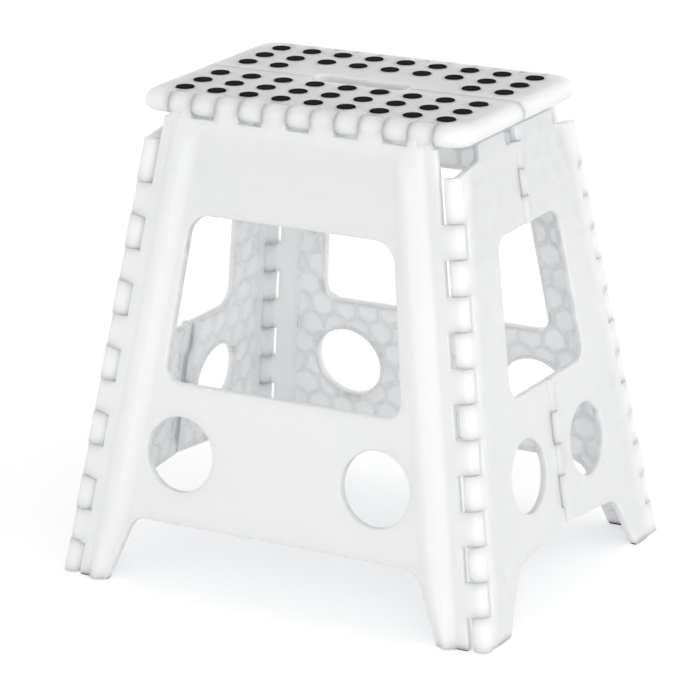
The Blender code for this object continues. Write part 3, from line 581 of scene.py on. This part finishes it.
def front_strip():
    """Outline of the right leg's strip along the corner hinge."""
    tuck = STRIP_WIDTH + STRIP_TUCK
    end = TOP_RUN / 2 - KNUCKLE_CLEAR
    along = (leg_line(0, 0) - leg_line(HINGE_Z, 0)).normalized()
    inward = Vector((along.y, -along.x))
    edge = notched_edge(leg_line, inward, CORNER_STRETCHES[::2], PANEL_NOTCH)
    shoulder = edge[1] + along * ((-SWING - edge[1].y) / along.y)
    sole = edge[-2] + along * ((leg_line(-BELOW, 0).y - edge[-2].y) / along.y)
    return [leg_line(HINGE_Z, tuck), Vector((end, 0)), Vector((end, -SWING)), shoulder, *edge[2:-2], sole,
            leg_line(-BELOW, tuck)]


def eased(share):
    """Smooth step from 0 to 1."""
    share = min(1.0, max(0.0, share))
    return share * share * (3 - 2 * share)


def add_swell(bm, side):
    """Adds the soft rounded swell that runs down a leg, between its strip and the panel's field."""
    top = HINGE_Z - SWING
    made = bmesh.ops.create_grid(bm, x_segments=SWELL_COLUMNS, y_segments=SWELL_ROWS, size=0.5)
    for vert in made["verts"]:
        share = vert.co.x + 0.5
        z = top + (-BELOW - top) * (0.5 - vert.co.y)
        leg = FOOT_WIDTH + (LEG_WIDTH - FOOT_WIDTH) * (z - FLOOR_CUT) / (ARCH_HEIGHT - FLOOR_CUT)
        inset = SWELL_OUTER + (min(SWELL_INNER, leg - FACE_SOFT) - SWELL_OUTER) * share
        step_up = eased((inset - SWELL_OUTER) / (FIELD_INSET - SWELL_OUTER))
        bulge = eased(min(share / SWELL_CREST_SHARE, (1 - share) / (1 - SWELL_CREST_SHARE)))
        height = STRIP_FACE + (PANEL_FACE - STRIP_FACE) * step_up - SWELL_SUNK
        height += SWELL_HEIGHT * bulge * eased((top - z) / SWELL_FADE)
        flat = leg_line(z, inset)
        vert.co = (side * flat.x, flat.y, height)
    faces = list({face for vert in made["verts"] for face in vert.link_faces})
    lowered = bmesh.ops.extrude_face_region(bm, geom=faces)["geom"]
    for item in lowered:
        if isinstance(item, bmesh.types.BMVert):
            item.co.z = STRIP_FACE - PANEL_SKIN
    bmesh.ops.recalc_face_normals(bm, faces=bm.faces)


def front_panel():
    """Front leg panel with its swells, honeycomb back, hinge strips and knuckles."""
    openings = front_openings()
    low = FLOOR_CUT + PANEL_FACE
    backed = [(leg_line(HINGE_Z - 2 * TOP_EDGE_RADIUS, FIELD_INSET), 0), (leg_line(low, FIELD_INSET), 0),
              (leg_line(low, FOOT_WIDTH), 0), (leg_line(ARCH_HEIGHT, LEG_WIDTH), ARCH_RADIUS)]
    cells = honeycomb(fillet(mirrored(backed)), openings)
    bm = bmesh.new()
    add_plate(bm, front_field(), openings, rim_levels(GAP, PANEL_FACE))
    body = combine(mesh_of(bm), cells, "DIFFERENCE", False)

    bm = bmesh.new()
    for side in (-1, 1):
        strip = [Vector((side * point.x, point.y)) for point in front_strip()]
        add_plate(bm, strip, [], rim_levels(GAP + SWELL_SUNK, STRIP_FACE))
        add_swell(bm, side)
        add_knuckles(bm, CORNER_STRETCHES[1::2],
                     lambda z: Vector((side * leg_line(z, 0).x, leg_line(z, 0).y, 0)), CORNER_PANEL_RADIUS)
    add_knuckles(bm, TOP_STRETCHES[::2], lambda x: Vector((x, 0, 0)), TOP_EDGE_RADIUS)
    return stand(combine(body, mesh_of(bm), "UNION"), FRONT)


def side_outline(notched, edge, middle, low):
    """Outline of the right front side half, from the points of its corner edge to its middle.

    Notched clears the end of the top's middle hinge.
    """
    foot = side_line(max(FLOOR_CUT, low), SIDE_FOOT_WIDTH)
    tab = corner(SIDE_TOP).y + SIDE_TAB_INSET
    points = [(point, 0) for point in edge]
    points += [(on_side(tab, CORNER_TOP + SIDE_TAB_RADIUS), SIDE_TAB_RADIUS),
               (on_side(tab, SIDE_TOP), SIDE_TAB_RADIUS / 2)]
    if notched:
        points += [(on_side(-SIDE_NOTCH_WIDTH, SIDE_TOP), 0),
                   (on_side(-SIDE_NOTCH_WIDTH, SIDE_UPPER_TOP), SIDE_NOTCH_DEPTH),
                   (on_side(middle, SIDE_UPPER_TOP), 0)]
    else:
        points += [(on_side(middle, SIDE_TOP), 0)]
    points += [(on_side(middle, SIDE_WINDOW_TOP), 0),
               (side_line(SIDE_WINDOW_TOP, SIDE_STILE_TOP), SIDE_WINDOW_RADIUS),
               (side_line(SIDE_WINDOW_BOTTOM, SIDE_STILE_BOTTOM), SIDE_WINDOW_RADIUS),
               (on_side(middle, SIDE_WINDOW_BOTTOM), 0), (on_side(middle, SIDE_ARCH_HEIGHT), 0),
               (side_line(SIDE_ARCH_HEIGHT - SIDE_ARCH_SHOULDER, SIDE_LEG_WIDTH), ARCH_RADIUS), (foot, 0)]
    if low < FLOOR_CUT:
        points += [(Vector((foot.x, on_side(0, low).y)), 0)]
    return fillet(points)


def side_half(notched):
    """Right front side half; with notched off, the mirror image of the rear half."""
    along = (side_line(0, 0) - side_line(HINGE_Z, 0)).normalized()
    inward = Vector((-along.y, along.x))
    edge = notched_edge(side_line, inward, CORNER_STRETCHES[1::2], CORNER_PANEL_RADIUS + NOTCH_GAP)
    edge = [side_line(-BELOW, 0), *reversed(edge), side_line(CORNER_TOP, 0)]
    hole = circle(side_line(SIDE_HOLE_HEIGHT, SIDE_HOLE_INSET), SIDE_HOLE_RADIUS, HOLE_SIDES)
    bm = bmesh.new()
    add_plate(bm, side_outline(notched, edge, -GAP, -BELOW), [hole], rim_levels(GAP, SIDE_FACE))
    low = FLOOR_CUT + SIDE_FACE
    field = side_outline(notched, [side_line(z, 2 * CORNER_SIDE_RADIUS) for z in (low, CORNER_TOP)],
                         -2 * SIDE_BARREL_RADIUS, low)
    body = combine(mesh_of(bm), honeycomb(field, [hole]), "DIFFERENCE", False)

    own = 0 if notched else 1
    reach = SIDE_BARREL_RADIUS + NOTCH_GAP + SIDE_PLAY
    bm = bmesh.new()
    for stretches in (SIDE_UPPER, SIDE_LOWER):
        for first, last in stretches[1 - own::2]:
            add_block(bm, side_axis(first + KNUCKLE_CLEAR), side_axis(last - KNUCKLE_CLEAR),
                      Vector((1, 0, 0)), (-reach, reach), OUT, (-reach, REACH))
    body = combine(body, mesh_of(bm), "DIFFERENCE", False)

    bm = bmesh.new()
    for stretches in (SIDE_UPPER, SIDE_LOWER):
        add_knuckles(bm, stretches[own::2], side_axis, SIDE_BARREL_RADIUS)
    bmesh.ops.scale(bm, vec=(1, 1, SIDE_BARREL_SQUASH), space=Matrix.Translation(-OUT * SIDE_OFFSET),
                    verts=bm.verts)
    add_knuckles(bm, CORNER_STRETCHES[::2], lambda z: side_line(z, 0).to_3d(), CORNER_SIDE_RADIUS)
    return stand(combine(body, mesh_of(bm), "UNION"), SIDE)


def top_outline(handle_depth):
    """Plan of the top's front half, with its half of the carry handle's slot."""
    end = TOP_LENGTH / 2
    slot = HANDLE_LENGTH / 2
    half = [(Vector((slot, -handle_depth)), HANDLE_RADIUS), (Vector((slot, -GAP)), 0),
            (Vector((end, -GAP)), 0), (Vector((end, -TOP_DEPTH / 2)), TOP_CORNER_RADIUS)]
    return fillet(mirrored(half))


def dot_row(row, rear):
    """Centres of a row of dots on the top's front half; the rear's first row leaves its middle free."""
    steps = [column - (DOT_COLUMNS - 1) / 2 for column in range(DOT_COLUMNS)]
    if rear and row == 0:
        steps = [step for step in steps if abs(step) > HANDLE_FREE_DOTS / 2]
    return [Vector((step * DOT_PITCH, -DOT_ROW_FIRST - row * DOT_ROW_PITCH)) for step in steps]


def top_bays(near):
    """Outlines of the hollows under the top's front half, between ribs that run midway between dots."""
    end = TOP_LENGTH / 2 - TOP_RIM + TOP_RIB / 2
    far = HINGE_Y - TOP_EDGE_RADIUS - TOP_RIB / 2
    edges_x = [-end, *((column - DOT_COLUMNS / 2) * DOT_PITCH for column in range(1, DOT_COLUMNS)), end]
    between = [-DOT_ROW_FIRST - (row + 0.5) * DOT_ROW_PITCH for row in range(DOT_ROWS - 1)]
    edges_y = [-near + TOP_RIB / 2, *between, -far]
    bays = []
    for left, right in zip(edges_x, edges_x[1:]):
        for high, low in zip(edges_y, edges_y[1:]):
            bay = [Vector((left, low)), Vector((right, low)), Vector((right, high)), Vector((left, high))]
            bays.append(drawn_in(bay, TOP_RIB / 2))
    return bays


def top_half(rear):
    """Front half of the top, or the mirror image of the rear half."""
    handle_depth = HANDLE_REAR if rear else HANDLE_FRONT
    knuckle = CENTRE_REAR_RADIUS if rear else CENTRE_FRONT_RADIUS
    other = CENTRE_FRONT_RADIUS if rear else CENTRE_REAR_RADIUS
    across = Vector((0, 1, 0))
    bm = bmesh.new()
    add_slab(bm, top_outline(handle_depth), CENTRE_Z, TOP_HEIGHT)
    inner_x = TOP_LENGTH / 2 - TOP_CORNER_RADIUS - GAP
    inner_y = -(TOP_DEPTH / 2 - TOP_CORNER_RADIUS - GAP)
    for height, radius in ((TOP_HEIGHT, TOP_EDGE_RADIUS), (CENTRE_Z, TOP_UNDER_RADIUS)):
        rim = [edge for edge in bm.edges
               if all(abs(vert.co.z - height) < GAP for vert in edge.verts)
               and all(abs(vert.co.x) > inner_x or vert.co.y < inner_y for vert in edge.verts)]
        bmesh.ops.bevel(bm, geom=rim, offset=radius, segments=EDGE_STEPS, profile=0.5, affect="EDGES",
                        material=-1, clamp_overlap=True)
    lips = [edge for edge in bm.edges
            if all(abs(vert.co.z - TOP_HEIGHT) < GAP for vert in edge.verts)
            and all(vert.co.y > -handle_depth - GAP for vert in edge.verts)
            and any(abs(face.normal.z) < 0.1 for face in edge.link_faces)]
    bmesh.ops.bevel(bm, geom=lips, offset=FACE_SOFT, segments=SOFT_STEPS, profile=0.5, affect="EDGES",
                    material=-1, clamp_overlap=True)
    body = mesh_of(bm)

    bm = bmesh.new()
    for first, last in TOP_STRETCHES[::2]:
        start = top_axis(first - KNUCKLE_CLEAR)
        end = top_axis(last + KNUCKLE_CLEAR)
        add_barrel(bm, start, end, SWING, BARREL_SIDES)
        add_block(bm, start, end, across, (-SWING, TOP_SEAM_BACK), OUT, (0, REACH))
    groove = other + CENTRE_PLAY + GAP
    groove_ends = [(side * (CENTRE_START - TOP_RIB), side * (TOP_RUN / 2 + TOP_RIB)) for side in (-1, 1)]
    for start, end in groove_ends:
        add_barrel(bm, centre_axis(start), centre_axis(end), groove, BARREL_SIDES)
    add_barrel(bm, centre_axis(-TOP_LENGTH), centre_axis(TOP_LENGTH), CENTRE_PLAY + GAP, BARREL_SIDES)
    body = combine(body, mesh_of(bm), "DIFFERENCE")

    bm = bmesh.new()
    stretches = CENTRE_STRETCHES[0::2] if rear else CENTRE_STRETCHES[1::2]
    stretches = stretches + [(-last, -first) for first, last in stretches]
    add_knuckles(bm, stretches, centre_axis, knuckle)
    for first, last in stretches:
        add_block(bm, centre_axis(first + 2 * KNUCKLE_SHORT), centre_axis(last - 2 * KNUCKLE_SHORT),
                  -across, (CENTRE_ROD_RADIUS, groove + TOP_RIB), OUT, (GAP, CENTRE_WEB))
    body = combine(body, mesh_of(bm), "UNION")

    bm = bmesh.new()
    for bay in top_bays(max(handle_depth + HANDLE_WALL, groove + TOP_RIB)):
        add_slab(bm, bay, CENTRE_Z - TOP_SKIN, SKIN_UNDERSIDE)
    for row in range(DOT_ROWS):
        for place in dot_row(row, rear):
            add_slab(bm, circle(place, DOT_RADIUS + GAP, DOT_SIDES), SKIN_UNDERSIDE - TOP_SKIN,
                     TOP_HEIGHT + TOP_SKIN)
    play = 0 if rear else CENTRE_PLAY
    for start, end in groove_ends:
        add_barrel(bm, centre_axis(start), centre_axis(end), CENTRE_ROD_RADIUS + GAP + play, ROD_SIDES)
    return combine(body, mesh_of(bm), "DIFFERENCE")


def grip_dots(row, rear):
    """A row of round grip dots, with softened rims."""
    bm = bmesh.new()
    for place in dot_row(row, rear):
        add_slab(bm, circle(place, DOT_RADIUS, DOT_SIDES), TOP_HEIGHT - DOT_DEPTH, TOP_HEIGHT + DOT_PROUD,
                 DOT_SOFT)
    return mesh_of(bm)


def foot_pad(left, right, front, back):
    """Thin pad with softened rims, between four limits."""
    sole = [Vector((left, front)), Vector((right, front)), Vector((right, back)), Vector((left, back))]
    bm = bmesh.new()
    add_slab(bm, fillet([(point, 2 * PAD_SOFT) for point in sole]), 0, PAD_HEIGHT, PAD_SOFT)
    return mesh_of(bm)


def front_pad():
    """Pad under the front panel's right foot."""
    line = corner(FLOOR_CUT)
    inner = line.x - FOOT_WIDTH + PAD_INSET
    outer = line.x - PANEL_NOTCH - PAD_INSET
    back = line.y - PAD_INSET / math.cos(LEG_LEAN)
    front = line.y - (STRIP_FACE - PAD_INSET) / math.cos(LEG_LEAN)
    return foot_pad(inner, outer, front, back)


def side_pad():
    """Pad under the right front side half's foot."""
    line = corner(FLOOR_CUT)
    first = line.y + 2 * CORNER_SIDE_RADIUS
    last = line.y + SIDE_FOOT_WIDTH - PAD_INSET
    inner = line.x + PAD_INSET / math.cos(SIDE_LEAN)
    outer = line.x + (SIDE_FACE - PAD_INSET) / math.cos(SIDE_LEAN)
    return foot_pad(inner, outer, first, last)


def hinge_rod(start, end, radius):
    """Hinge rod between two points, a little short of both, with rounded ends."""
    short = (end - start).normalized() * ROD_SHORT
    bm = bmesh.new()
    add_barrel(bm, start + short, end - short, radius, ROD_SIDES, KNUCKLE_SOFT)
    return mesh_of(bm)


def linear(code):
    """Linear colour of an sRGB hex value."""
    shares = [int(code[index:index + 2], 16) / 255 for index in (1, 3, 5)]
    parts = [share / 12.92 if share <= 0.04045 else ((share + 0.055) / 1.055) ** 2.4 for share in shares]
    return [*parts, 1]


def add(tree, kind, settings=None, links=None):
    """Adds a shader node, with its settings and with inputs linked to other nodes' outputs."""
    made = tree.nodes.new(kind)
    for name, value in (settings or {}).items():
        if isinstance(name, int) or name in made.inputs:
            made.inputs[name].default_value = value
        else:
            setattr(made, name, value)
    for name, output in (links or {}).items():
        tree.links.new(output, made.inputs[name])
    return made


def finish(name, pale, dark, roughness, metallic, ior, grain_mm, patch_mm, bump_mm, glow_mm=0):
    """Material whose colour drifts over patches, with a fine grain; glow lets light through its walls."""
    made = bpy.data.materials.new(name)
    made.use_nodes = True
    tree = made.node_tree
    shader = tree.nodes["Principled BSDF"]
    place = add(tree, "ShaderNodeTexCoord").outputs["Object"]
    patch = add(tree, "ShaderNodeTexNoise", {"Scale": 1000 / patch_mm, "Detail": 3.0, "Roughness": 0.5},
                {"Vector": place})
    grain = add(tree, "ShaderNodeTexNoise", {"Scale": 1000 / grain_mm, "Detail": 2.0, "Roughness": 0.6},
                {"Vector": place})
    colour = add(tree, "ShaderNodeValToRGB", links={"Fac": patch.outputs["Fac"]})
    colour.color_ramp.elements[0].position = 0.35
    colour.color_ramp.elements[0].color = linear(dark)
    colour.color_ramp.elements[1].position = 0.65
    colour.color_ramp.elements[1].color = linear(pale)
    gloss = add(tree, "ShaderNodeMapRange", {"From Min": 0.3, "From Max": 0.7, "To Min": roughness[0],
                                             "To Max": roughness[1]}, {"Value": grain.outputs["Fac"]})
    relief = add(tree, "ShaderNodeBump", {"Strength": 1.0, "Distance": bump_mm / 1000},
                 {"Height": grain.outputs["Fac"]})
    shader.inputs["Metallic"].default_value = metallic
    shader.inputs["IOR"].default_value = ior
    shader.inputs["Subsurface Weight"].default_value = GLOW_SHARE if glow_mm else 0.0
    shader.inputs["Subsurface Radius"].default_value = (1, 1, 1)
    shader.inputs["Subsurface Scale"].default_value = glow_mm / 1000
    tree.links.new(colour.outputs["Color"], shader.inputs["Base Color"])
    tree.links.new(gloss.outputs["Result"], shader.inputs["Roughness"])
    tree.links.new(relief.outputs["Normal"], shader.inputs["Normal"])
    return made


# Injection-moulded polypropylene: a cool white with a satin sheen, broken up by the mould's fine grain.
# Its thin walls let light through, which softens edges and brightens the faces turned away from the lamps.
# The grain is about 0.3 mm on the real part and is drawn at 1.2 mm, so that it shows.
POLYPROPYLENE = finish("satin_polypropylene", "#F8FBFE", "#F4F7FA", (0.36, 0.46), 0, 1.49, 1.2, 90, 0.02,
                       glow_mm=25)
# Thermoplastic rubber of the grip dots: dull black, with a dusty bloom and a fine matt tooth.
GRIP_RUBBER = finish("matt_grip_rubber", "#161618", "#101012", (0.75, 0.9), 0, 1.12, 0.9, 12, 0.03)
# Moulded rubber of the foot pads: dark grey and scuffed dull.
PAD_RUBBER = finish("foot_pad_rubber", "#2B2B2B", "#202021", (0.7, 0.85), 0, 1.2, 1.0, 15, 0.04)
# Cold-drawn steel rod: bright grey with a faint drawn grain.
ROD_STEEL = finish("drawn_steel", "#C3C5C7", "#B2B4B6", (0.26, 0.38), 1, 1.5, 0.8, 20, 0.004)

bodies = {node: body for body, nodes in frame["record"]["behaviour"]["bodies"].items() for node in nodes}


def dress(node, model, mirror, material, slot):
    """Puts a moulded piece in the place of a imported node, from a copy of a mesh or its mirror image."""
    mesh = model.copy()
    mesh.name = f"{node}_moulded"
    mesh.transform(mirror)
    if mirror.determinant() < 0:
        mesh.flip_normals()
    mesh.materials.clear()
    mesh.materials.append(material)
    mesh.shade_smooth()
    mesh.set_sharp_from_angle(angle=SHARP_ANGLE)
    made = bpy.data.objects.new(f"{node}_moulded", mesh)
    bpy.context.scene.collection.objects.link(made)
    even = made.modifiers.new("even_shading", "WEIGHTED_NORMAL")
    even.keep_sharp = True
    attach(made, bodies[node])
    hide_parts(node)


def dress_stool():
    """Makes every piece of the stool."""
    plastic = (POLYPROPYLENE, "white_plastic")
    steel = (ROD_STEEL, "rod_steel")
    panel = front_panel()
    pad = front_pad()
    top_rod = hinge_rod(top_axis(-TOP_RUN / 2), top_axis(TOP_RUN / 2), TOP_ROD_RADIUS)
    for end, mirror in (("front", KEEP), ("rear", MIRROR_Y)):
        rear = end == "rear"
        dress(f"{end}_panel", panel, mirror, *plastic)
        dress(f"top_{end}", top_half(rear), mirror, *plastic)
        dress(f"{end}_top_rod", top_rod, mirror, *steel)
        for row in range(DOT_ROWS):
            dress(f"{end}_dots_{row + 1}", grip_dots(row, rear), mirror, GRIP_RUBBER, "dot_rubber")
        for hand, flip in (("right", KEEP), ("left", MIRROR_X)):
            dress(f"{end}_{hand}_pad", pad, mirror @ flip, PAD_RUBBER, "pad_rubber")

    halves = {"front": side_half(True), "rear": side_half(False)}
    pad = side_pad()
    corner_rod = hinge_rod(corner(CORNER_TOP), corner(CORNER_ROD_BOTTOM), CORNER_ROD_RADIUS)
    centre_rod = hinge_rod(centre_axis(CENTRE_START), centre_axis(TOP_RUN / 2), CENTRE_ROD_RADIUS)
    for hand, flip in (("right", KEEP), ("left", MIRROR_X)):
        for end, mirror in (("front", flip), ("rear", flip @ MIRROR_Y)):
            dress(f"{hand}_{end}_side", halves[end], mirror, *plastic)
            dress(f"{hand}_{end}_side_pad", pad, mirror, PAD_RUBBER, "pad_rubber")
            dress(f"{hand}_{end}_corner_rod", corner_rod, mirror, *steel)
        for level, stretches in (("upper", SIDE_UPPER), ("lower", SIDE_LOWER)):
            ends = [SIDE @ side_axis(z) for z in (stretches[0][0], stretches[-1][1])]
            rod = hinge_rod(*ends, SIDE_ROD_RADIUS)
            dress(f"{hand}_{level}_rod", rod, flip, *steel)
        dress(f"{hand}_centre_rod", centre_rod, flip, *steel)


dress_stool()


def white_floor():
    """Wide white floor: it takes the stool's soft shadow, and its lit part reads as plain white."""
    bm = bmesh.new()
    bmesh.ops.create_grid(bm, x_segments=1, y_segments=1, size=FLOOR_REACH)
    ground = bpy.data.objects.new("studio_floor", mesh_of(bm))
    bpy.context.scene.collection.objects.link(ground)
    made = bpy.data.materials.new("white_studio_floor")
    made.use_nodes = True
    tree = made.node_tree
    shader = tree.nodes["Principled BSDF"]
    rays = add(tree, "ShaderNodeLightPath").outputs
    reflected = add(tree, "ShaderNodeMath", {"operation": "MAXIMUM"},
                    {0: rays["Is Glossy Ray"], 1: rays["Is Transmission Ray"]})
    seen = add(tree, "ShaderNodeMath", {"operation": "MAXIMUM"},
               {0: rays["Is Camera Ray"], 1: reflected.outputs[0]})
    lift = add(tree, "ShaderNodeMath", {"operation": "MULTIPLY", 1: FLOOR_LIFT}, {0: seen.outputs[0]})
    shader.inputs["Base Color"].default_value = linear("#F4F4F4")
    shader.inputs["Roughness"].default_value = 0.9
    shader.inputs["Specular IOR Level"].default_value = 0.0
    shader.inputs["Emission Color"].default_value = (1, 1, 1, 1)
    tree.links.new(lift.outputs[0], shader.inputs["Emission Strength"])
    ground.data.materials.append(made)


def soft_lamp(name, place, target, size, power):
    """Large square soft lamp that faces a point."""
    lamp = bpy.data.lights.new(name, "AREA")
    lamp.shape = "SQUARE"
    lamp.size = size
    lamp.energy = power
    made = bpy.data.objects.new(name, lamp)
    turn = (Vector(target) - Vector(place)).to_track_quat("-Z", "Y").to_matrix().to_4x4()
    made.matrix_world = Matrix.Translation(place) @ turn
    bpy.context.scene.collection.objects.link(made)


def pale_surroundings():
    """White surroundings, brighter near the horizon than overhead and to the right than to the left."""
    world = bpy.data.worlds.new("white_studio")
    bpy.context.scene.world = world
    world.use_nodes = True
    tree = world.node_tree
    place = add(tree, "ShaderNodeTexCoord").outputs["Generated"]
    toward = add(tree, "ShaderNodeSeparateXYZ", links={"Vector": place}).outputs
    level = add(tree, "ShaderNodeMapRange", {"From Min": 0.0, "From Max": 1.0, "To Min": HORIZON_LEVEL,
                                             "To Max": OVERHEAD_LEVEL}, {"Value": toward["Z"]})
    share = add(tree, "ShaderNodeMapRange", {"From Min": -1.0, "From Max": 1.0, "To Min": LEFT_SHARE,
                                             "To Max": RIGHT_SHARE}, {"Value": toward["X"]})
    strength = add(tree, "ShaderNodeMath", {"operation": "MULTIPLY"},
                   {0: level.outputs["Result"], 1: share.outputs["Result"]})
    sky = tree.nodes["Background"]
    sky.inputs["Color"].default_value = (1, 1, 1, 1)
    tree.links.new(strength.outputs[0], sky.inputs["Strength"])


white_floor()
pale_surroundings()
soft_lamp("key_lamp", KEY_PLACE, MIDDLE, KEY_SIZE, KEY_POWER)


def photo_camera():
    """Camera at the photograph's viewing angle."""
    level = Vector((math.cos(CAMERA_AZIMUTH), math.sin(CAMERA_AZIMUTH), 0))
    back = Vector((math.sin(CAMERA_AZIMUTH) * math.cos(CAMERA_ELEVATION),
                   -math.cos(CAMERA_AZIMUTH) * math.cos(CAMERA_ELEVATION), math.sin(CAMERA_ELEVATION)))
    upright = back.cross(level)
    right = level * math.cos(CAMERA_ROLL) + upright * math.sin(CAMERA_ROLL)
    up = upright * math.cos(CAMERA_ROLL) - level * math.sin(CAMERA_ROLL)
    lens = bpy.data.cameras.new("photo_camera")
    lens.sensor_width = CAMERA_SENSOR_MM
    lens.lens = CAMERA_LENS_MM
    lens.clip_end = CAMERA_CLIP
    made = bpy.data.objects.new("photo_camera", lens)
    turn = Matrix((right, up, back)).transposed().to_4x4()
    made.matrix_world = Matrix.Translation(CAMERA_PLACE) @ turn
    bpy.context.scene.collection.objects.link(made)
    bpy.context.scene.camera = made


photo_camera()
bpy.context.scene.view_settings.view_transform = "Standard"
